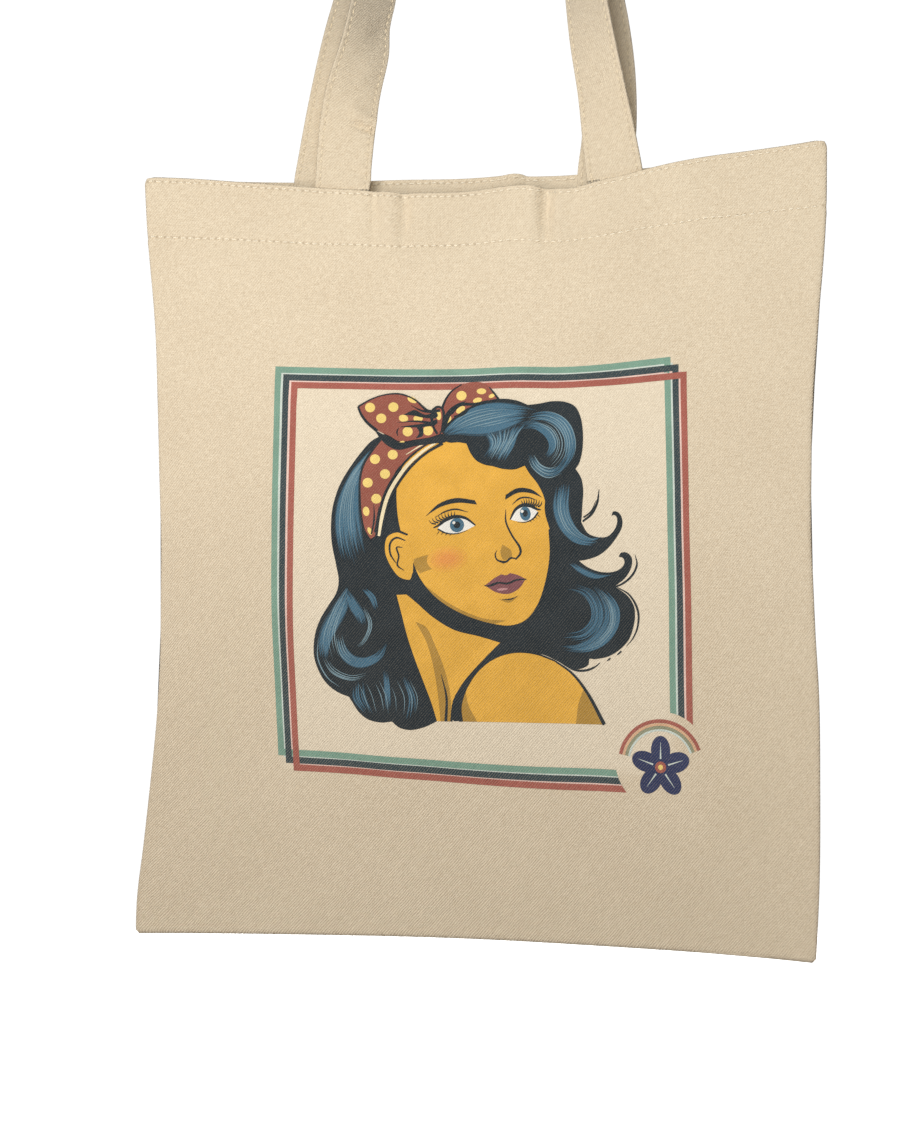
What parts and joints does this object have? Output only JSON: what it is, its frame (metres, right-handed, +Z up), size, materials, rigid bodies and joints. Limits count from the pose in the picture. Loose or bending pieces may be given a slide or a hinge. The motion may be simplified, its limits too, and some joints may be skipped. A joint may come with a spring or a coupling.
{
  "type": "tote bag",
  "caption": "Flat open-topped canvas tote bag with long strap handles, a hemmed mouth and a framed retro portrait printed on its front.",
  "frame": {"origin": "centre of the round hook both handles hang on", "axes": "+Z up along the hanging bag, -Y the printed front, +X to the right of someone facing the print"},
  "size_m": [0.3762, 0.067, 0.7572],
  "materials": {
    "canvas": "natural undyed cotton twill canvas, matt",
    "strap_canvas": "natural cotton canvas, folded and stitched, matt",
    "thread": "undyed cotton sewing thread",
    "ink_teal": "screen-print ink soaked into the cloth, matt",
    "ink_navy": "screen-print ink soaked into the cloth, matt",
    "ink_red": "screen-print ink soaked into the cloth, matt",
    "ink_skin": "screen-print ink soaked into the cloth, matt",
    "ink_hair": "screen-print ink soaked into the cloth, matt",
    "ink_scarf": "screen-print ink soaked into the cloth, matt",
    "ink_flower": "screen-print ink soaked into the cloth, matt"
  },
  "bodies": {
    "bag": {"front_panel": "canvas", "back_panel": "canvas", "left_side_seam": "canvas", "right_side_seam": "canvas", "bottom_seam": "canvas", "front_handle_end_left": "strap_canvas", "front_handle_end_right": "strap_canvas", "back_handle_end_left": "strap_canvas", "back_handle_end_right": "strap_canvas", "front_top_stitch": "thread", "front_hem_stitch": "thread", "back_top_stitch": "thread", "back_hem_stitch": "thread", "print_frame_teal": "ink_teal", "print_frame_navy": "ink_navy", "print_frame_red": "ink_red", "print_skin": "ink_skin", "print_hair": "ink_hair", "print_scarf": "ink_scarf", "print_flower": "ink_flower"},
    "front_handle": {"front_handle": "strap_canvas", "front_handle_stitch_near": "thread", "front_handle_stitch_far": "thread"},
    "back_handle": {"back_handle": "strap_canvas", "back_handle_stitch_near": "thread", "back_handle_stitch_far": "thread"}
  },
  "joints": [
    {"name": "front_handle_fold", "type": "hinge", "parent": "bag", "child": "front_handle", "pos_m": [-0.0019, -0.00189, -0.318], "axis": [1, 0.0027, 0], "range_deg": [0, 150]},
    {"name": "back_handle_fold", "type": "hinge", "parent": "bag", "child": "back_handle", "pos_m": [-0.01343, 0.01856, -0.318], "axis": [-0.9995, -0.0317, 0], "range_deg": [0, 150]}
  ]
}
